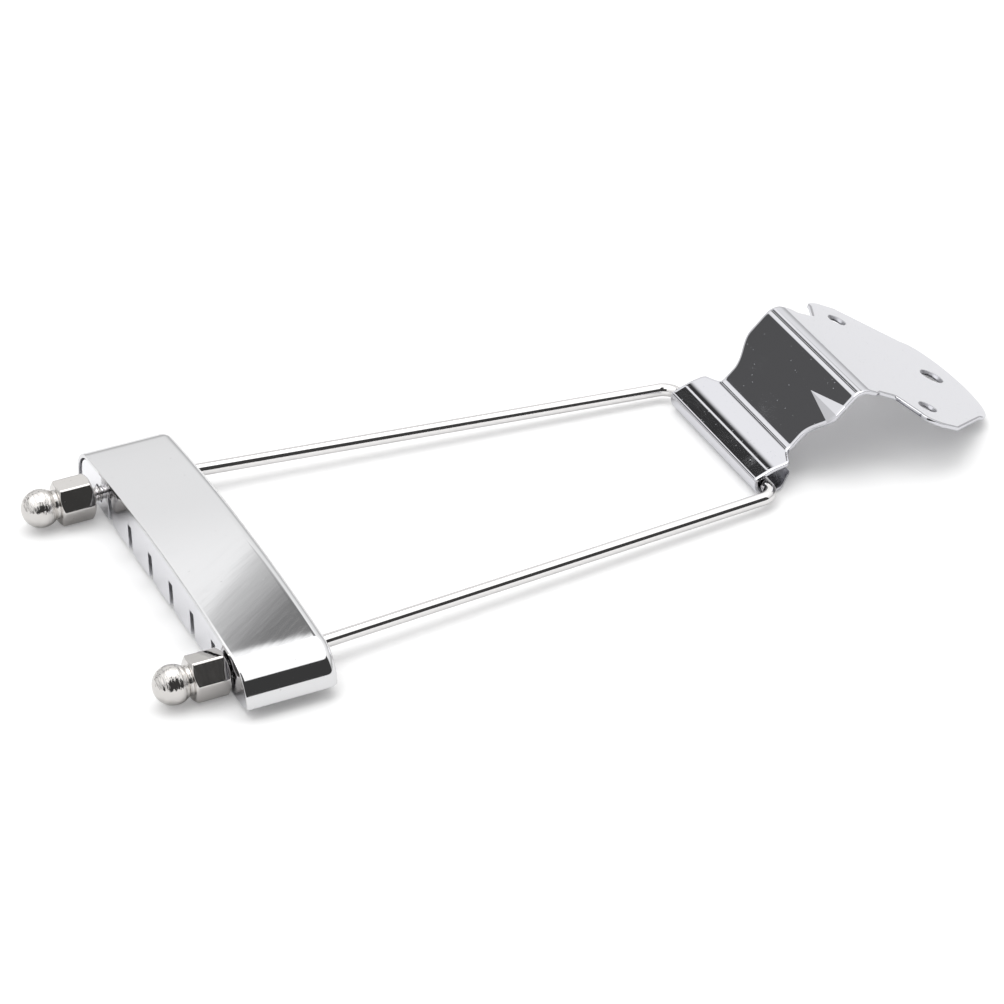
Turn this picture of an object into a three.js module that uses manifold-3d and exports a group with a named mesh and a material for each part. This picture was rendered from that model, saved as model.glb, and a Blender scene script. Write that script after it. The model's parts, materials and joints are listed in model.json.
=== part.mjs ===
// Trapeze tailpiece of a six-string archtop guitar, lying face up on a flat table.
// Millimetres, +Z up. +X runs from the string bar towards the guitar's end block and +Y is the far side.
import * as THREE from 'three';
import Module from 'manifold-3d';
import { mergeVertices } from 'three/addons/utils/BufferGeometryUtils.js';

const wasm = await Module();
wasm.setup();

// Strings
const stringCount = 6;
const stringPitch = 10.4;
const stringSlotWidth = 2.1;
const stringSlotHeight = 5.5;

// Wire yoke: one bent wire with a rolled thread at each end
const wireDiameter = 2.5;
const threadDiameter = 2.85;
const studSpacing = 63.8;
const studInside = 8;
const studTipGap = 1.2;
const hingeToBar = 113.3;
const hingeRunWidth = 42.8;
const cornerBendRadius = 3.2;
const shoulderBendRadius = 9;
const shoulderBehindBar = 14;
const studLift = 2.64;

// String bar: a slotted anchor plate under a pressed cover
const barWidth = 85.4;
const barDepth = 17.5;
const barHeight = 10.4;
const anchorThickness = 1;
const anchorCornerRadius = 2.6;
const anchorFlangeDepth = 6;
const studAboveAnchorEdge = 3.25;
const coverThickness = 0.8;
const coverLip = 0.35;
const coverArchRadius = 390;
const coverBendRadius = 6.8;
const coverLegAngle = 12;
const coverLegBottom = 1.4;
const coverRearRadius = 2;
const coverCornerRadius = 1.7;

// Dome nuts
const nutSideCount = 6;
const nutAcrossFlats = 7.5;
const nutHexLength = 6.6;
const nutChamfer = 0.45;
const nutNeckDiameter = 5.6;
const nutNeckLength = 0.7;
const nutDomeDiameter = 7.3;
const nutBoreDepth = 8.5;
const nearNutGap = 0.3;
const farNutGap = 1.8;
const nearNutAngle = 49;
const farNutAngle = 57.5;

// Mounting bracket: one stamped sheet, curled round the wire and bent over the end of the guitar
const bracketThickness = 0.8;
const tailLength = 6.9;
const tailAngle = 4;
const tailEndWidth = 28;
const tailTaperLength = 3.9;
const curlWidth = 35;
const frontWallHeight = 1.31;
const frontBendRadius = 1.2;
const crownAngle = 20;
const crownLength = 3.88;
const crownBendRadius = 10;
const neckLength = 5.32;
const neckAngle = 8.9;
const scallopWidth = 27.4;
const scallopEntry = 1.9;
const scallopLength = 3.2;
const scallopExit = 7.5;
const footBendRadius = 2.2;
const rampLength = 17.3;
const rampAngle = 41.4;
const ridgeWidth = 35;
const ridgeBendRadius = 2.5;
const reliefWidth = 33;
const reliefLength = 4.6;
const plateAngle = 28.8;
const plateLength = 36.1;
const plateWidth = 50;
const wingTopWidth = 44;
const wingTopRise = 2.4;
const wingCornerLength = 4.3;
const plateSideLength = 3.4;
const plateShoulderWidth = 31.4;
const plateFlankLength = 11.2;
const upperHolesToTip = 20.5;

// Screw holes in the mounting plate
const upperHoleSpacing = 35.9;
const upperHoleDiameter = 2.9;
const upperSinkDiameter = 3.9;
const lowerHoleDrop = 12.6;
const lowerHoleDiameter = 4;
const lowerSinkDiameter = 5;
const sinkDepth = 0.5;

// Fits and facets
const runningGap = 0.25;
const seatGap = 0.3;
const studHoleClearance = 0.35;
const rearNotchClearance = 0.9;
const cutOverrun = 2;
const bendCount = 6;
const roundSideCount = 24;

const wireRadius = wireDiameter / 2;
const threadRadius = threadDiameter / 2;
const curlInnerRadius = wireRadius + runningGap;
const curlMidRadius = curlInnerRadius + bracketThickness / 2;
const curlOuterRadius = curlInnerRadius + bracketThickness;
const nutCornerRadius = nutAcrossFlats / 2 / Math.cos(Math.PI / nutSideCount);

const radians = THREE.MathUtils.degToRad;

// Solids

function solidFrom(geometry) {
  const plain = geometry.clone();
  plain.deleteAttribute('normal');
  plain.deleteAttribute('uv');
  const merged = mergeVertices(plain);
  const vertProperties = new Float32Array(merged.attributes.position.array);
  const triVerts = new Uint32Array(merged.index.array);
  return new wasm.Manifold(new wasm.Mesh({ numProp: 3, vertProperties, triVerts }));
}

function geometryFrom(solid) {
  const mesh = solid.getMesh();
  const geometry = new THREE.BufferGeometry();
  geometry.setAttribute('position', new THREE.BufferAttribute(mesh.vertProperties, 3));
  geometry.setIndex(new THREE.BufferAttribute(mesh.triVerts, 1));
  const faceted = geometry.toNonIndexed();
  faceted.computeVertexNormals();
  return faceted;
}

// An outline drawn across the bar, with Y to the far side and Z up, pushed along +X
function pushAlongX(outline, start, depth) {
  const shape = new THREE.Shape(outline);
  const geometry = new THREE.ExtrudeGeometry(shape, { depth, bevelEnabled: false, steps: 1 });
  const axes = new THREE.Matrix4().makeBasis(
    new THREE.Vector3(0, 1, 0),
    new THREE.Vector3(0, 0, 1),
    new THREE.Vector3(1, 0, 0),
  );
  geometry.applyMatrix4(axes);
  geometry.translate(start, 0, 0);
  return solidFrom(geometry);
}

// A side view, with X along and Z up, pushed across the full width
function pushAcross(outline, width) {
  const shape = new THREE.Shape(outline);
  const geometry = new THREE.ExtrudeGeometry(shape, { depth: width, bevelEnabled: false, steps: 1 });
  geometry.translate(0, 0, -width / 2);
  geometry.rotateX(Math.PI / 2);
  return solidFrom(geometry);
}

// A plan view, with X along and Y across, pushed up from a bottom height
function pushUp(outline, bottom, height) {
  const shape = new THREE.Shape(outline);
  const geometry = new THREE.ExtrudeGeometry(shape, { depth: height, bevelEnabled: false, steps: 1 });
  geometry.translate(0, 0, bottom);
  return solidFrom(geometry);
}

function boxAt(sizeX, sizeY, sizeZ, x, y, z) {
  const geometry = new THREE.BoxGeometry(sizeX, sizeY, sizeZ);
  geometry.translate(x, y, z);
  return solidFrom(geometry);
}

// A cylinder whose axis is parallel to X
function barAlongX(radius, start, end, y, z, sides = roundSideCount) {
  const geometry = new THREE.CylinderGeometry(radius, radius, end - start, sides);
  geometry.rotateZ(Math.PI / 2);
  geometry.translate((start + end) / 2, y, z);
  return solidFrom(geometry);
}

// A turned form about the X axis: pairs of distance along X and radius, from axis to axis
function turnedAlongX(profile) {
  const points = profile.map(([along, radius]) => new THREE.Vector2(radius, along));
  const geometry = new THREE.LatheGeometry(points, roundSideCount);
  geometry.rotateZ(-Math.PI / 2);
  return solidFrom(geometry);
}

// Outlines

function arcPoints(centreX, centreY, radius, startAngle, endAngle, steps) {
  const points = [];
  for (let i = 0; i <= steps; i += 1) {
    const angle = startAngle + ((endAngle - startAngle) * i) / steps;
    points.push(new THREE.Vector2(centreX + radius * Math.cos(angle), centreY + radius * Math.sin(angle)));
  }
  return points;
}

// A bent line: straight runs at set angles, with each corner rounded by its own radius
function bentLine(start, runs) {
  const corners = [start];
  for (const run of runs) {
    const last = corners[corners.length - 1];
    const step = new THREE.Vector2(Math.cos(run.angle), Math.sin(run.angle)).multiplyScalar(run.length);
    corners.push(last.clone().add(step));
  }
  const points = [start];
  for (let i = 0; i + 1 < runs.length; i += 1) {
    const turn = runs[i + 1].angle - runs[i].angle;
    const radius = runs[i].bendRadius;
    const lead = radius * Math.tan(Math.abs(turn) / 2);
    const side = Math.sign(turn);
    const heading = runs[i].angle;
    const corner = corners[i + 1];
    const beginX = corner.x - lead * Math.cos(heading);
    const beginY = corner.y - lead * Math.sin(heading);
    const centreX = beginX - side * radius * Math.sin(heading);
    const centreY = beginY + side * radius * Math.cos(heading);
    const from = heading - (side * Math.PI) / 2;
    points.push(...arcPoints(centreX, centreY, radius, from, from + turn, bendCount));
  }
  points.push(corners[corners.length - 1]);
  return points;
}

// Bent sheet metal: a path in the side view gives the middle of the sheet,
// and the flat blank gives its half width at each length along that path
function bentSheet(path, blank, thickness) {
  const reach = [0];
  for (let i = 1; i < path.length; i += 1) {
    reach.push(reach[i - 1] + path[i].distanceTo(path[i - 1]));
  }
  const blankEnd = blank[blank.length - 1][0];
  const stretch = reach[reach.length - 1] / blankEnd;
  const scaledBlank = blank.map(([length, halfWidth]) => [length * stretch, halfWidth]);
  const stations = [...new Set([...reach, ...scaledBlank.map(([length]) => length)])].sort((a, b) => a - b);
  const normals = path.map((point, i) => {
    const before = path[Math.max(i - 1, 0)];
    const after = path[Math.min(i + 1, path.length - 1)];
    return new THREE.Vector2(before.y - after.y, after.x - before.x).normalize();
  });
  const rings = [];
  for (const length of stations) {
    if (rings.length > 0 && length - rings[rings.length - 1].length < thickness / 50) continue;
    let i = 0;
    while (i + 2 < reach.length && reach[i + 1] < length) i += 1;
    const share = (length - reach[i]) / (reach[i + 1] - reach[i]);
    const middle = path[i].clone().lerp(path[i + 1], share);
    const normal = normals[i].clone().lerp(normals[i + 1], share).normalize();
    let j = 0;
    while (j + 2 < scaledBlank.length && scaledBlank[j + 1][0] < length) j += 1;
    const [lengthA, widthA] = scaledBlank[j];
    const [lengthB, widthB] = scaledBlank[j + 1];
    const halfWidth = widthA + ((widthB - widthA) * (length - lengthA)) / (lengthB - lengthA);
    rings.push({ length, middle, normal, halfWidth });
  }
  const positions = [];
  for (const { middle, normal, halfWidth } of rings) {
    const upper = middle.clone().addScaledVector(normal, thickness / 2);
    const lower = middle.clone().addScaledVector(normal, -thickness / 2);
    positions.push(upper.x, halfWidth, upper.y, upper.x, -halfWidth, upper.y);
    positions.push(lower.x, -halfWidth, lower.y, lower.x, halfWidth, lower.y);
  }
  const corners = 4;
  const index = [0, 2, 1, 0, 3, 2];
  for (let k = 0; k + 1 < rings.length; k += 1) {
    for (let c = 0; c < corners; c += 1) {
      const a = k * corners + c;
      const b = k * corners + ((c + 1) % corners);
      index.push(a, b, a + corners, b, b + corners, a + corners);
    }
  }
  const last = (rings.length - 1) * corners;
  index.push(last, last + 1, last + 2, last, last + 2, last + 3);
  const geometry = new THREE.BufferGeometry();
  geometry.setAttribute('position', new THREE.BufferAttribute(new Float32Array(positions), 3));
  geometry.setIndex(index);
  return solidFrom(geometry);
}

// A path through chosen places, close together in the bends and far apart on the straights
class BentWire extends THREE.Curve {
  constructor(points) {
    super();
    this.points = points;
  }

  getPoint(share) {
    const place = share * (this.points.length - 1);
    const i = Math.min(Math.floor(place), this.points.length - 2);
    return this.points[i].clone().lerp(this.points[i + 1], place - i);
  }

  getPointAt(share) {
    return this.getPoint(share);
  }

  getTangentAt(share) {
    const i = Math.round(share * (this.points.length - 1));
    const before = this.points[Math.max(i - 1, 0)];
    const after = this.points[Math.min(i + 1, this.points.length - 1)];
    const ahead = after.clone().sub(this.points[i]).normalize();
    const behind = this.points[i].clone().sub(before).normalize();
    return ahead.add(behind).normalize();
  }
}

// The places along a wire whose corners are bent to given radii, each bend in the plane of its two runs
function roundedCorners(corners, radii) {
  const points = [corners[0]];
  for (let i = 1; i + 1 < corners.length; i += 1) {
    const behind = corners[i - 1].clone().sub(corners[i]).normalize();
    const ahead = corners[i + 1].clone().sub(corners[i]).normalize();
    const halfAngle = behind.angleTo(ahead) / 2;
    const inward = behind.clone().add(ahead).normalize();
    const centre = corners[i].clone().addScaledVector(inward, radii[i - 1] / Math.sin(halfAngle));
    const start = corners[i].clone().addScaledVector(behind, radii[i - 1] / Math.tan(halfAngle)).sub(centre);
    const axis = behind.clone().cross(ahead).normalize();
    const turn = halfAngle * 2 - Math.PI;
    for (let step = 0; step <= bendCount; step += 1) {
      const spoke = start.clone().applyAxisAngle(axis, (turn * step) / bendCount);
      points.push(centre.clone().add(spoke));
    }
  }
  points.push(corners[corners.length - 1]);
  return points;
}

// Wire yoke: two legs that draw together and drop from the studs to the hinge run

function yokeSolid() {
  const studY = studSpacing / 2;
  const hingeY = hingeRunWidth / 2;
  const studStart = -hingeToBar - nearNutGap - nutBoreDepth + studTipGap;
  const corners = [
    new THREE.Vector3(studStart, studY, studLift),
    new THREE.Vector3(-hingeToBar + shoulderBehindBar, studY, studLift),
    new THREE.Vector3(0, hingeY, 0),
    new THREE.Vector3(0, 0, 0),
  ];
  const far = roundedCorners(corners, [shoulderBendRadius, cornerBendRadius]).slice(0, -1);
  const near = far.map((point) => new THREE.Vector3(point.x, -point.y, point.z)).reverse();
  const path = new BentWire([...far, ...near]);
  const section = new THREE.Shape(arcPoints(0, 0, wireRadius, 0, 2 * Math.PI, roundSideCount).slice(0, -1));
  const steps = far.length + near.length - 1;
  const wire = solidFrom(new THREE.ExtrudeGeometry(section, { steps, extrudePath: path, bevelEnabled: false }));
  const threadEnd = -hingeToBar + studInside;
  const farThread = barAlongX(threadRadius, studStart, threadEnd, studY, studLift);
  const nearThread = barAlongX(threadRadius, studStart, threadEnd, -studY, studLift);
  return wire.add(farThread).add(nearThread);
}

// String bar, drawn with X from the plate's front face and Z from its lower edge

// The cover's outer outline seen from the front, drawn in by an inset, with legs that run on below the bar
function coverOutline(inset) {
  const lean = radians(coverLegAngle);
  const bendRadius = coverBendRadius - inset;
  const bendY = barWidth / 2 - coverBendRadius;
  const archAngle = Math.asin(bendY / (coverArchRadius - coverBendRadius));
  const archCentreZ = barHeight - coverArchRadius;
  const bendZ = archCentreZ + (coverArchRadius - coverBendRadius) * Math.cos(archAngle);
  const bend = arcPoints(bendY, bendZ, bendRadius, -lean, Math.PI / 2 - archAngle, bendCount * 2);
  const legFoot = new THREE.Vector2(bend[0].x - barHeight * Math.tan(lean), bend[0].y - barHeight);
  const archFrom = Math.PI / 2 - archAngle;
  const archTo = Math.PI / 2 + archAngle;
  const arch = arcPoints(0, archCentreZ, coverArchRadius - inset, archFrom, archTo, bendCount * 3);
  const farHalf = [legFoot, ...bend.slice(0, -1)];
  const nearHalf = farHalf.map((point) => new THREE.Vector2(-point.x, point.y)).reverse();
  return [...farHalf, ...arch, ...nearHalf];
}

// The cover's side view and plan, both rounded at the rear
function coverSide(front, rear, bottom, top, radius) {
  const round = arcPoints(rear - radius, top - radius, radius, 0, Math.PI / 2, bendCount);
  return [new THREE.Vector2(front, bottom), new THREE.Vector2(rear, bottom), ...round, new THREE.Vector2(front, top)];
}

function coverPlan(front, rear, halfWidth, radius) {
  const far = arcPoints(rear - radius, halfWidth - radius, radius, 0, Math.PI / 2, bendCount);
  const near = arcPoints(rear - radius, radius - halfWidth, radius, -Math.PI / 2, 0, bendCount);
  return [new THREE.Vector2(front, -halfWidth), ...near, ...far, new THREE.Vector2(front, halfWidth)];
}

function coverBlock(inset, front, bottom) {
  const rear = barDepth - coverLip - inset;
  const top = barHeight - inset;
  const across = pushAlongX(coverOutline(inset), front, rear - front);
  const side = pushAcross(coverSide(front, rear, bottom, top, coverRearRadius - inset), barWidth + cutOverrun);
  const plan = coverPlan(front, rear, barWidth / 2 - inset, coverCornerRadius - inset);
  return across.intersect(side).intersect(pushUp(plan, bottom, top - bottom));
}

// Pressed cover: top, rear wall and two end walls in one sheet, open below and at the front,
// with a notch in the rear wall over each leg of the yoke
function coverSolid() {
  const shell = coverBlock(0, -coverLip, coverLegBottom);
  const hollow = coverBlock(coverThickness, -coverLip - cutOverrun, coverLegBottom - cutOverrun);
  let cover = shell.subtract(hollow);
  const notchRadius = wireRadius + rearNotchClearance;
  const notchFront = barDepth - coverLip - coverRearRadius;
  const notchRear = barDepth - coverLip + cutOverrun;
  for (const side of [1, -1]) {
    const y = (side * studSpacing) / 2;
    const crown = barAlongX(notchRadius, notchFront, notchRear, y, studAboveAnchorEdge);
    const middleX = (notchFront + notchRear) / 2;
    const middleZ = studAboveAnchorEdge - barHeight / 2;
    const throat = boxAt(notchRear - notchFront, notchRadius * 2, barHeight, middleX, y, middleZ);
    cover = cover.subtract(crown).subtract(throat);
  }
  return cover;
}

// Anchor plate: the front wall that holds the strings, with a flange under the cover's arch
function anchorSolid() {
  const inset = coverThickness + seatGap;
  const halfWidth = barWidth / 2 - inset;
  const corner = anchorCornerRadius;
  const foot = [
    new THREE.Vector2(-halfWidth, barHeight),
    ...arcPoints(corner - halfWidth, corner, corner, Math.PI, Math.PI * 1.5, bendCount),
    ...arcPoints(halfWidth - corner, corner, corner, -Math.PI / 2, 0, bendCount),
    new THREE.Vector2(halfWidth, barHeight),
  ];
  const face = pushAlongX(coverOutline(inset), 0, anchorThickness).intersect(pushAlongX(foot, 0, anchorThickness));
  const under = pushAlongX(coverOutline(inset + anchorThickness), -cutOverrun, anchorFlangeDepth + 2 * cutOverrun);
  const legs = boxAt(anchorFlangeDepth * 2, barWidth, barHeight * 3, 0, 0, -barHeight);
  const flange = pushAlongX(coverOutline(inset), 0, anchorFlangeDepth).subtract(under).subtract(legs);
  let anchor = face.add(flange);
  for (let i = 0; i < stringCount; i += 1) {
    const y = (i - (stringCount - 1) / 2) * stringPitch;
    const height = stringSlotHeight + cutOverrun;
    const slot = boxAt(anchorThickness + 2 * cutOverrun, stringSlotWidth, height, 0, y, stringSlotHeight - height / 2);
    anchor = anchor.subtract(slot);
  }
  for (const side of [1, -1]) {
    const y = (side * studSpacing) / 2;
    const radius = threadRadius + studHoleClearance;
    const hole = barAlongX(radius, -cutOverrun, anchorThickness + cutOverrun, y, studAboveAnchorEdge);
    anchor = anchor.subtract(hole);
  }
  return anchor;
}

// Dome nut, drawn with its inner face at X zero and its dome towards -X
function domeNutSolid(turn) {
  const hexagon = new THREE.CylinderGeometry(nutCornerRadius, nutCornerRadius, nutHexLength, nutSideCount);
  hexagon.rotateZ(Math.PI / 2);
  hexagon.rotateX(-Math.PI / 2);
  hexagon.translate(-nutHexLength / 2, 0, 0);
  const flat = nutAcrossFlats / 2;
  const chamferRise = nutCornerRadius - flat + nutChamfer / 4;
  const chamfered = turnedAlongX([
    [-nutHexLength, 0],
    [-nutHexLength, nutCornerRadius - chamferRise],
    [-nutHexLength + nutChamfer, nutCornerRadius],
    [-nutChamfer, nutCornerRadius],
    [0, nutCornerRadius - chamferRise],
    [0, 0],
  ]);
  const domeRadius = nutDomeDiameter / 2;
  const neckRadius = nutNeckDiameter / 2;
  const neckEnd = -nutHexLength - nutNeckLength;
  const domeCentre = neckEnd - Math.sqrt(domeRadius ** 2 - neckRadius ** 2);
  const domeFrom = Math.asin(neckRadius / domeRadius);
  const dome = [];
  const domeCount = bendCount * 2;
  for (let i = 0; i <= domeCount; i += 1) {
    const angle = Math.PI - ((Math.PI - domeFrom) * i) / domeCount;
    dome.push([domeCentre + domeRadius * Math.cos(angle), domeRadius * Math.sin(angle)]);
  }
  dome[0][1] = 0;
  const stem = turnedAlongX([...dome, [-nutHexLength + nutChamfer, neckRadius], [-nutHexLength + nutChamfer, 0]]);
  const bore = barAlongX(threadRadius + seatGap, -nutBoreDepth, cutOverrun, 0, 0);
  const hex = solidFrom(hexagon).intersect(chamfered);
  const nut = hex.add(stem).subtract(bore);
  const geometry = geometryFrom(nut);
  geometry.rotateX(radians(turn));
  return geometry;
}

// Mounting bracket, drawn with X and Z from the hinge axis: the tail passes under the wire, and the sheet
// curls up round its front, flattens over its crown and runs on into the neck, ramp, ridge and plate

function bracketPath() {
  const rise = radians(tailAngle);
  const curl = arcPoints(0, 0, curlMidRadius, rise - Math.PI / 2, -Math.PI, bendCount * 2);
  const tail = curl[0].clone().add(new THREE.Vector2(Math.cos(rise), Math.sin(rise)).multiplyScalar(tailLength));
  const sheet = bentLine(curl[curl.length - 1], [
    { angle: Math.PI / 2, length: frontWallHeight, bendRadius: frontBendRadius },
    { angle: radians(crownAngle), length: crownLength, bendRadius: crownBendRadius },
    { angle: radians(neckAngle), length: neckLength, bendRadius: footBendRadius },
    { angle: radians(rampAngle), length: rampLength, bendRadius: ridgeBendRadius },
    { angle: -radians(plateAngle), length: plateLength },
  ]);
  return [tail, ...curl, ...sheet.slice(1)];
}

// The flat blank's half width against length from the tail's end
function bracketBlank(total) {
  const curlStart = tailLength;
  const curlLength = curlMidRadius * (Math.PI / 2 + radians(tailAngle));
  const neckEnd = curlStart + curlLength + frontWallHeight + crownLength + neckLength - scallopEntry;
  const neckHalfWidth = curlWidth / 2 - scallopEntry / 4;
  const scallop = neckEnd + scallopEntry;
  const upperHoles = total - upperHolesToTip;
  const wingTop = upperHoles - wingTopRise - wingCornerLength;
  const relief = wingTop - reliefLength;
  const blank = [
    [0, tailEndWidth / 2],
    [tailTaperLength, curlWidth / 2],
    [neckEnd - scallopEntry / 2, curlWidth / 2],
    [neckEnd, neckHalfWidth],
  ];
  for (let i = 1; i <= bendCount; i += 1) {
    const share = i / bendCount;
    const ease = Math.sin((share * Math.PI) / 2);
    blank.push([neckEnd + scallopEntry * share, THREE.MathUtils.lerp(neckHalfWidth, scallopWidth / 2, ease)]);
  }
  for (let i = 0; i <= bendCount; i += 1) {
    const share = i / bendCount;
    const ease = (1 - Math.cos(share * Math.PI)) / 2;
    const width = THREE.MathUtils.lerp(scallopWidth, ridgeWidth, ease);
    blank.push([scallop + scallopLength + scallopExit * share, width / 2]);
  }
  blank.push([relief - bracketThickness, ridgeWidth / 2]);
  blank.push([relief + bracketThickness, reliefWidth / 2]);
  blank.push([wingTop, reliefWidth / 2]);
  blank.push([wingTop + bracketThickness / 5, reliefWidth / 2 + bracketThickness / 2]);
  const wingSide = wingTop + wingTopRise + wingCornerLength;
  for (let i = 0; i <= bendCount; i += 1) {
    const angle = (i * Math.PI) / 2 / bendCount;
    const length = wingTop + wingTopRise + wingCornerLength * (1 - Math.cos(angle));
    blank.push([length, THREE.MathUtils.lerp(wingTopWidth, plateWidth, Math.sin(angle)) / 2]);
  }
  const flank = wingSide + plateSideLength;
  blank.push([flank, plateWidth / 2 - bracketThickness / 3]);
  const shoulder = flank + plateFlankLength;
  const tipLength = total - shoulder;
  for (let i = 0; i < bendCount * 2; i += 1) {
    const share = i / (bendCount * 2);
    const halfWidth = (plateShoulderWidth / 2) * Math.cos((share * Math.PI) / 2);
    blank.push([shoulder + tipLength * Math.sin((share * Math.PI) / 2), halfWidth]);
  }
  blank.push([total, bracketThickness]);
  return blank;
}

function pathLength(path) {
  let total = 0;
  for (let i = 1; i < path.length; i += 1) total += path[i].distanceTo(path[i - 1]);
  return total;
}

// A countersunk screw hole square to the plate
function screwHole(tip, fromTip, y, holeDiameter, sinkDiameter) {
  const holeRadius = holeDiameter / 2;
  const sinkRadius = sinkDiameter / 2;
  const face = bracketThickness / 2;
  const widen = (sinkRadius - holeRadius) / sinkDepth;
  const profile = [
    [-face - cutOverrun, 0],
    [-face - cutOverrun, holeRadius],
    [face - sinkDepth, holeRadius],
    [face + cutOverrun, sinkRadius + widen * cutOverrun],
    [face + cutOverrun, 0],
  ];
  const points = profile.map(([along, radius]) => new THREE.Vector2(radius, along));
  const geometry = new THREE.LatheGeometry(points, roundSideCount);
  geometry.rotateX(Math.PI / 2);
  geometry.rotateY(radians(plateAngle));
  const back = radians(plateAngle);
  geometry.translate(tip.x - fromTip * Math.cos(back), y, tip.y + fromTip * Math.sin(back));
  return solidFrom(geometry);
}

function bracketSolid(path) {
  const tip = path[path.length - 1];
  let bracket = bentSheet(path, bracketBlank(pathLength(path)), bracketThickness);
  for (const side of [1, -1]) {
    const y = (side * upperHoleSpacing) / 2;
    bracket = bracket.subtract(screwHole(tip, upperHolesToTip, y, upperHoleDiameter, upperSinkDiameter));
  }
  const lower = upperHolesToTip - lowerHoleDrop;
  return bracket.subtract(screwHole(tip, lower, 0, lowerHoleDiameter, lowerSinkDiameter));
}

// Chrome and nickel finishes

function finish(colour, roughness) {
  return new THREE.MeshStandardMaterial({ color: colour, roughness, metalness: 1 });
}

const coverChrome = finish(0xdfe0e2, 0.08);
const anchorChrome = finish(0xd9d9df, 0.1);
const wireChrome = finish(0xe4e4e6, 0.06);
const nutNickel = finish(0xcfcac6, 0.14);
const bracketChrome = finish(0xdadae4, 0.07);

function named(name, geometry, material) {
  const mesh = new THREE.Mesh(geometry, material);
  mesh.name = name;
  return mesh;
}

// Assembly: the yoke and all it carries lie on the nuts and the curl, and the bracket on its curl and tip

let lowestCorner = 0;
for (let i = 0; i < nutSideCount; i += 1) {
  const angle = radians(nearNutAngle) + (2 * Math.PI * i) / nutSideCount;
  lowestCorner = Math.max(lowestCorner, -nutCornerRadius * Math.sin(angle));
}
const nutReach = hingeToBar + nearNutGap + nutHexLength - nutChamfer;
const yokeTilt = Math.asin((lowestCorner - studLift - curlOuterRadius) / nutReach);

const bracketCentreline = bracketPath();
const sheetTip = bracketCentreline[bracketCentreline.length - 1];
const plateTilt = radians(plateAngle);
const tipX = sheetTip.x - (bracketThickness / 2) * Math.sin(plateTilt);
const tipZ = sheetTip.y - (bracketThickness / 2) * Math.cos(plateTilt);
const bracketTilt = Math.asin(curlOuterRadius / Math.hypot(tipX, tipZ)) + Math.atan2(tipZ, tipX);

const stringBar = new THREE.Group();
stringBar.position.set(-hingeToBar, 0, studLift - studAboveAnchorEdge);
stringBar.add(named('string_anchor_plate', geometryFrom(anchorSolid()), anchorChrome));
stringBar.add(named('crossbar_cover', geometryFrom(coverSolid()), coverChrome));

const yoke = new THREE.Group();
yoke.position.z = curlOuterRadius;
yoke.rotation.y = yokeTilt;
yoke.add(named('wire_yoke', geometryFrom(yokeSolid()), wireChrome));
yoke.add(stringBar);

const farNut = named('dome_nut_far', domeNutSolid(farNutAngle), nutNickel);
farNut.position.set(-hingeToBar - farNutGap, studSpacing / 2, studLift);
yoke.add(farNut);
const nearNut = named('dome_nut_near', domeNutSolid(nearNutAngle), nutNickel);
nearNut.position.set(-hingeToBar - nearNutGap, -studSpacing / 2, studLift);
yoke.add(nearNut);

const bracket = named('mounting_bracket', geometryFrom(bracketSolid(bracketCentreline)), bracketChrome);
bracket.position.z = curlOuterRadius;
bracket.rotation.y = bracketTilt;

const tailpiece = new THREE.Group();
tailpiece.add(bracket, yoke);

// The origin is on the table under the middle of the outline
tailpiece.updateMatrixWorld(true);
const bounds = new THREE.Box3().setFromObject(tailpiece, true);
const middle = bounds.getCenter(new THREE.Vector3());
tailpiece.position.set(-middle.x, -middle.y, -bounds.min.z);

export default tailpiece;
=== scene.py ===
# Looks of the trapeze tailpiece: polished chrome pieces in a pale studio with a few dark cards.
# Pieces are drawn in millimetres, beside the hinge or the string bar,
# and are then placed in the frame in metres.
import json
import math

import bmesh
import bpy
from mathutils import Matrix, Vector


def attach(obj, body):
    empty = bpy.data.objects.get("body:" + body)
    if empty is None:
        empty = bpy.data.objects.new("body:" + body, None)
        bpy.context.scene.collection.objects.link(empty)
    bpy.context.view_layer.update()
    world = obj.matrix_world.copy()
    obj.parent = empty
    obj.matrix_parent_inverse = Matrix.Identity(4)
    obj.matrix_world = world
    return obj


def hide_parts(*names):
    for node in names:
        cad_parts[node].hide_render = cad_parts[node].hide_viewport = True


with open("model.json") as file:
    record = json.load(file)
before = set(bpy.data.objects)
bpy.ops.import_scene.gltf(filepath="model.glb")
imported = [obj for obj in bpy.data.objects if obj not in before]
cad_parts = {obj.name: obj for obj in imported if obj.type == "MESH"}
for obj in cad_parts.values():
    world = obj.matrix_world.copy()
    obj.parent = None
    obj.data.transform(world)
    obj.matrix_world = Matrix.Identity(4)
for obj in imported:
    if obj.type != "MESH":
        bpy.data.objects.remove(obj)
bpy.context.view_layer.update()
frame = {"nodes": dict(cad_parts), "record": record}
nodes = frame["nodes"]
joints = {joint["name"]: joint for joint in frame["record"]["behaviour"]["joints"]}
mounts = {mount["name"]: mount for mount in frame["record"]["mounts"]}
mm = 0.001
rad = math.radians
tolerance = {"cut": 1e-5, "merge": 1e-4, "clean": 1e-3}  # millimetres

# Camera

camera = {
    "place": (-0.289859, -0.636, 0.447083),
    "right": (0.909120, -0.416148, -0.017929),
    "up": (0.238232, 0.484170, 0.841917),
    "lens": 159.93,  # millimetres, like the sensor
    "sensorWidth": 36,
    "clipRange": (0.01, 50),
}


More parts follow.
